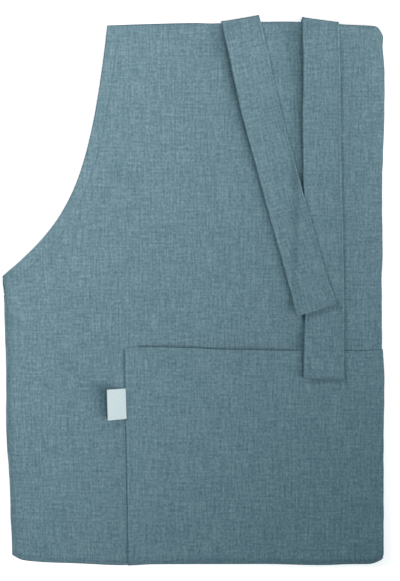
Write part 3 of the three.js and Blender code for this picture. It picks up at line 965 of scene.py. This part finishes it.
class APRON_OT_panel(bpy.types.Operator):
    """Add the bib and skirt, one sheet with hems all round, folded"""

    bl_idname = "apron.panel"
    bl_label = "Bib and skirt"

    def execute(self, context):
        sizes = context.scene.apron_sizes
        cloth = FoldedCloth(sizes)
        width = half_width(sizes)
        v_rows = self.rows(sizes, cloth)
        half, slope = width(v_rows)
        stretch = np.sqrt(1 + slope ** 2)
        u = np.stack([self.columns(cloth, *row) for row in zip(half, stretch)])
        across = (u - MIDDLE) / (sizes.bib_width / 2)
        bowed = ramp(v_rows, BIB_TOP - BOW_REACH, BIB_TOP)[:, None]
        v = v_rows[:, None] + BIB_BOW * (1 - across ** 2) * bowed
        side = (half[:, None] - np.abs(u - MIDDLE)) / stretch[:, None]
        end = np.minimum(v_rows - v_rows[0], v_rows[-1] - v_rows)[:, None]
        edge = np.minimum(side, end)
        thick = round_rim(edge, sizes.cloth / 2, HEM_ROUND)
        over = thick + hemmed(edge, sizes)
        piece = sheet_object("apron_cloth", u, v, -thick, over, cloth.folded, linen_material())
        finished(piece, "apron_panel")
        height = sizes.cloth / 2 - sizes.groove * GROOVE_SHARE
        seams = self.seams(sizes, width)
        stitching = stitch_rows("apron_stitching", seams, height, cloth.folded, sizes)
        return {"FINISHED"}

    def rows(self, sizes, cloth):
        """Heights of the lines across the pattern, from the hem to the top of the bib."""
        bend = math.pi * cloth.bottom_radius
        first = BIB_TOP - sizes.length + np.array(HEM)
        last = (BIB_TOP - np.array(HEM))[::-1]
        return np.concatenate([
            first,
            steps(first[-1], BOTTOM_FOLD - bend, BACK_STEP),
            steps(BOTTOM_FOLD - bend, BOTTOM_FOLD, bend / BOTTOM_BEND_STEPS),
            BOTTOM_FOLD + np.array(FOLD[1:]),
            steps(BOTTOM_FOLD + FOLD[-1], ROUND_FOLD_LOW, BACK_STEP),
            steps(ROUND_FOLD_LOW, ROUND_FOLD_HIGH, ROUND_FOLD_STEP),
            steps(ROUND_FOLD_HIGH, last[0], FACE_STEP)[:-1],
            last,
        ])

    def columns(self, cloth, half, stretch):
        """Places of the points along one line, from the left edge round both folds to the right edge."""
        hem = np.array(HEM) * stretch
        left, right = MIDDLE - half, MIDDLE + half
        bend = math.pi * cloth.side_radius
        left_bend = max(LEFT_FOLD - bend, left + hem[-1] + HEM_CLEAR)
        start = max(LEFT_FOLD, left_bend + bend)
        return np.concatenate([
            left + hem,
            np.linspace(left + hem[-1], left_bend, LEFT_BACK_LINES)[1:],
            np.linspace(left_bend, start, SIDE_BEND_LINES)[1:],
            start + (RIGHT_FOLD - start) * self.shares()[1:],
            np.linspace(RIGHT_FOLD, RIGHT_FOLD + bend, SIDE_BEND_LINES)[1:],
            np.linspace(RIGHT_FOLD + bend, right - hem[-1], RIGHT_BACK_LINES)[1:],
            (right - hem)[::-1][1:],
        ])

    def shares(self):
        """Lines across the face, 0 at the left fold and 1 at the right, close by the folds and the seam."""
        seam = (POCKET_LEFT + POCKET_LEFT_LOW) / 2
        from_left = LEFT_FOLD + np.array(FOLD)
        by_seam = seam + np.array(BESIDE)
        to_right = RIGHT_FOLD - np.array(FOLD)[::-1]
        lines = np.concatenate([
            from_left,
            steps(from_left[-1], by_seam[0], FACE_STEP)[:-1],
            by_seam,
            steps(by_seam[-1], to_right[0], FACE_STEP)[:-1],
            to_right,
        ])
        return (lines - LEFT_FOLD) / (RIGHT_FOLD - LEFT_FOLD)

    def seams(self, sizes, width):
        """Stitch lines of the hems: the two sides, the top and the foot."""
        inset = sizes.hem_stitch
        hem = BIB_TOP - sizes.length
        v = np.linspace(hem + inset, BIB_TOP - inset, SIDE_POINTS)
        half, slope = width(v)
        reach = half - inset * np.sqrt(1 + slope ** 2)
        top = np.linspace(-1.0, 1.0, TOP_POINTS) * (sizes.bib_width / 2 - inset)
        bow = BIB_BOW * (1 - (top / (sizes.bib_width / 2)) ** 2)
        foot = sizes.skirt_width / 2 - inset
        return (
            np.stack([MIDDLE - reach, v], -1),
            np.stack([MIDDLE + reach, v], -1),
            np.stack([MIDDLE + top, BIB_TOP + bow - inset], -1),
            ((MIDDLE - foot, hem + inset), (MIDDLE + foot, hem + inset)),
        )


class APRON_OT_pocket(bpy.types.Operator):
    """Add the patch pocket, sewn on three sides, with its hemmed mouth a little open"""

    bl_idname = "apron.pocket"
    bl_label = "Pocket"

    def execute(self, context):
        sizes = context.scene.apron_sizes
        cloth = FoldedCloth(sizes)
        right = RIGHT_FOLD + POCKET_TURN * cloth.side_radius
        bottom = BOTTOM_FOLD - POCKET_TURN * cloth.bottom_radius
        u0, v0 = self.grid(sizes, right, bottom)
        lean = (POCKET_LEFT_LOW - POCKET_LEFT) * (POCKET_TOP - v0) / (POCKET_TOP - bottom)
        tilt = (POCKET_TOP_END - POCKET_TOP) * (u0 - POCKET_LEFT) / (right - POCKET_LEFT)
        u = u0 + lean * (1 - ramp(u0, POCKET_LEFT + LEAN_LEFT, RIGHT_FOLD - LEAN_RIGHT))
        v = v0 + tilt * ramp(v0, BOTTOM_FOLD + TILT_LOW, POCKET_TOP - sizes.mouth_hem - TILT_HIGH)
        v = v + strayed_edge(MOUTH, u0) * ramp(v0, POCKET_TOP - sizes.mouth_hem, POCKET_TOP)
        inside, mouth, up = u0 - POCKET_LEFT, POCKET_TOP - v0, v0 - bottom
        seam = np.minimum(np.minimum(inside, right - u0), up)
        sewn_down = np.minimum(inside, up)
        by_left = 1 - ramp(u0, POCKET_LEFT + SEWN_CORNER, POCKET_LEFT + SEWN_CORNER_END)
        corner = by_left * (1 - ramp(mouth, 0.0, SEWN_CORNER_DOWN))
        flat = SEWN_FLAT + SEWN_FULL * ramp(sewn_down, FLAT_FROM, FLAT_TO) - CORNER_FLATTER * corner
        drawn = DRAWN_DEPTH * np.maximum(1 - ramp(sewn_down, DRAWN_FROM, DRAWN_TO), corner)
        base = sizes.cloth / 2 + sizes.gap - drawn + flat * sizes.cloth / 2 + self.lift(sizes, u0, mouth)
        mouth_thick = round_rim(mouth, sizes.cloth / 2, MOUTH_ROUND + CORNER_ROUND * by_left)
        thick = flat * np.minimum(round_rim(seam, sizes.cloth / 2, SEAM_ROUND), mouth_thick)
        over = base + thick + sewn(mouth, sizes.mouth_hem, sizes) * ramp(seam, 0.0, HEM_FADE)
        slack = 1 - SLACK * np.exp(-(((v0 - LABEL_Y + SLACK_BELOW) / SLACK_REACH) ** 2))
        crest = bead(inside, *POCKET_BEAD) * slack
        over = over + crest * ramp(mouth, 0.0, BEAD_FADE) * ramp(up, 0.0, BEAD_FADE)
        piece = sheet_object("pocket_cloth", u, v, base - thick, over, cloth.folded, linen_material())
        finished(piece, "pocket")
        height = base.min() + sizes.cloth / 2 - sizes.groove * GROOVE_SHARE
        seams = self.seams(sizes, bottom)
        stitching = stitch_rows("pocket_stitching", seams, height, cloth.folded, sizes)
        return {"FINISHED"}

    def grid(self, sizes, right, bottom):
        """Points of the pocket before its left seam leans and its mouth tilts."""
        hem = sizes.mouth_hem + np.array(BY_MOUTH_STITCH)
        turned = BOTTOM_FOLD + BOTTOM_DROP_REACH
        across = np.concatenate([
            between(POCKET_LEFT, RIGHT_FOLD, POCKET_STEP, SEAM, (0.0,)),
            right - np.array([d for d in SEAM[::-1] if right - d > RIGHT_FOLD + SAME_LINE]),
        ])
        along = np.concatenate([
            bottom + np.array(SEAM),
            steps(bottom + SEAM[-1], turned, POCKET_DROP_STEP),
            steps(turned, POCKET_TOP - hem[-1], POCKET_STEP)[:-1],
            (POCKET_TOP - hem)[::-1],
            steps(POCKET_TOP - hem[0], POCKET_TOP - SEAM[-1], POCKET_HEM_STEP)[:-1],
            (POCKET_TOP - np.array(SEAM))[::-1],
        ])
        return np.meshgrid(across, along)

    def seams(self, sizes, bottom):
        """Stitch lines of the left seam, the bottom seam and the hem."""
        inset = sizes.seam_stitch
        foot, head = bottom + inset, POCKET_TOP - inset
        hem = POCKET_TOP - sizes.mouth_hem
        fall = POCKET_TOP_END - POCKET_TOP
        return (
            ((POCKET_LEFT_LOW + inset, foot), (POCKET_LEFT + inset, head)),
            ((POCKET_LEFT_LOW + inset, foot), (RIGHT_FOLD, foot)),
            ((POCKET_LEFT + inset, hem), (RIGHT_FOLD, hem + fall)),
        )

    def lift(self, sizes, u, mouth):
        """How far the mouth stands open: not at its sewn corners, nor under the strap that lies on it."""
        strap = STRAPS["tie_right"].x
        half = sizes.strap_width / 2
        open_left = ramp(u, POCKET_LEFT + OPEN_LEFT, POCKET_LEFT + OPEN_LEFT_FULL)
        narrowed = NARROWED * ramp(u, RIGHT_FOLD - NARROWED_FROM, RIGHT_FOLD - NARROWED_TO)
        shut = SHUT * ramp(u, RIGHT_FOLD - SHUT_FROM, RIGHT_FOLD - SHUT_TO)
        open_right = 1 - narrowed - shut
        left_of = ramp(strap - u, half + HELD_LEFT, half + HELD_LEFT_END)
        right_of = ramp(u - strap, half + HELD_RIGHT, half + HELD_RIGHT_END)
        pressed = 1 - left_of - right_of
        uneven = OPEN_MEAN + OPEN_WAVE * np.sin(u * LONG_WAVE + LONG_WAVE_PHASE) * np.cos(u * SHORT_WAVE)
        reach = np.exp(-((mouth / OPEN_DOWN) ** 2))
        return sizes.mouth_lift * open_left * open_right * (1 - pressed) * uneven * reach


class APRON_OT_straps(bpy.types.Operator):
    """Add the two straps, turned over the top of the bib, with stitched edges"""

    bl_idname = "apron.straps"
    bl_label = "Straps"

    def execute(self, context):
        sizes = context.scene.apron_sizes
        cloth = FoldedCloth(sizes)
        for name, row in STRAPS.items():
            self.strap(cloth, sizes, name, row)
        return {"FINISHED"}

    def strap(self, cloth, sizes, name, row):
        """One strap with its turned edges, its slanting end and its stitches."""
        half = sizes.strap_width / 2
        across = between(-half, half, STRAP_STEP, BORDER, BORDER)
        along = np.concatenate([
            -row.front + np.array(TURNED),
            steps(-row.front + TURNED[-1], STRAP_TURN_LOW, STRAP_STEP),
            steps(STRAP_TURN_LOW, STRAP_TURN_HIGH, STRAP_TURN_STEP),
            steps(STRAP_TURN_HIGH, row.back - TURNED[-1], STRAP_STEP)[:-1],
            (row.back - np.array(TURNED))[::-1],
        ])
        a, up = np.meshgrid(across, along)
        side = half - np.abs(a)
        end = np.minimum(up + row.front, row.back - up)
        edge = np.minimum(side, end)
        by_end = ramp(end, 0.0, STRAP_END_ROUND)
        side_thick = round_rim(side, sizes.double / 2, STRAP_ROUND)
        thick = np.minimum(side_thick, round_rim(end, sizes.double / 2, STRAP_END_ROUND))
        turned = bead(end, *END_BEAD, sizes.strap_hem) * ramp(edge, 0.0, STRAP_ROUND)
        edged = bead(side, *SIDE_BEAD, sizes.strap_bead) * by_end
        over = thick + turned + edged
        depth = STRAP_GROOVE * sizes.groove
        over = over - stitch_groove(side, sizes.strap_stitch, depth, STRAP_GROOVE_WIDTH) * by_end
        slant = -a * math.tan(math.radians(row.cut)) * ramp(-up, row.front - CUT_REACH, row.front)
        place = cloth.strap(row, STANDS[name], SWAYS[name], SPREADS[name])
        piece = sheet_object(name + "_cloth", a, up + slant, -thick, over, place, linen_material())
        finished(piece, name)
        height = sizes.double / 2 + STRAP_THREAD_HIGH
        stitching = stitch_rows(name + "_stitching", self.seams(sizes, row), height, place, sizes)

    def seams(self, sizes, row):
        """Stitch lines of a strap: along both edges and across both ends."""
        out = sizes.strap_width / 2 - sizes.strap_stitch
        low, high = STRAP_END_STITCH - row.front, row.back - STRAP_END_STITCH
        lines = [((side * out, low), (side * out, high)) for side in (-1, 1)]
        lines += [((-out, end), (out, end)) for end in (low, high)]
        return [np.linspace(*map(np.array, line), STRAP_POINTS) for line in lines]


class APRON_OT_label(bpy.types.Operator):
    """Add the blank white label that the pocket's seam holds"""

    bl_idname = "apron.label"
    bl_label = "Label"

    def execute(self, context):
        sizes = context.scene.apron_sizes
        cloth = FoldedCloth(sizes)
        wide, high = sizes.label_width / 2, sizes.label_height / 2
        across = between(-wide, wide, LABEL_STEP, RIM, RIM)
        a, b = np.meshgrid(across, between(-high, high, LABEL_STEP, RIM, RIM))
        edge = np.minimum(wide - np.abs(a), high - np.abs(b))
        thick = round_rim(edge, sizes.tab / 2, LABEL_ROUND)
        base = sizes.cloth / 2 + sizes.gap + sizes.tab / 2
        piece = sheet_object("label_cloth", a, b, base - thick, base + thick, cloth.label, label_material())
        finished(piece, "side_label")
        return {"FINISHED"}


class APRON_PT_sidebar(bpy.types.Panel):
    """The apron's pieces, sizes and colours"""

    bl_idname = "APRON_PT_sidebar"
    bl_label = "Folded apron"
    bl_space_type = "VIEW_3D"
    bl_region_type = "UI"
    bl_category = "Apron"

    def draw(self, context):
        for operator in OPERATORS:
            self.layout.operator(operator.bl_idname)
        for group in (context.scene.apron_sizes, context.scene.apron_colours):
            for name in group.__annotations__:
                self.layout.prop(group, name)


OPERATORS = (APRON_OT_stage, APRON_OT_panel, APRON_OT_pocket, APRON_OT_straps, APRON_OT_label)
CLASSES = (ApronSizes, ApronColours, *OPERATORS, APRON_PT_sidebar)


def register():
    """Registers the classes and hangs the sizes and colours on the scene."""
    for cls in CLASSES:
        bpy.utils.register_class(cls)
    bpy.types.Scene.apron_sizes = PointerProperty(type=ApronSizes)
    bpy.types.Scene.apron_colours = PointerProperty(type=ApronColours)


def unregister():
    """Undoes register."""
    del bpy.types.Scene.apron_colours
    del bpy.types.Scene.apron_sizes
    for cls in reversed(CLASSES):
        bpy.utils.unregister_class(cls)


def main():
    """Models the apron on its stage."""
    register()
    bpy.ops.apron.stage()
    bpy.ops.apron.panel()
    bpy.ops.apron.pocket()
    bpy.ops.apron.straps()
    bpy.ops.apron.label()


if __name__ == "__main__":
    main()
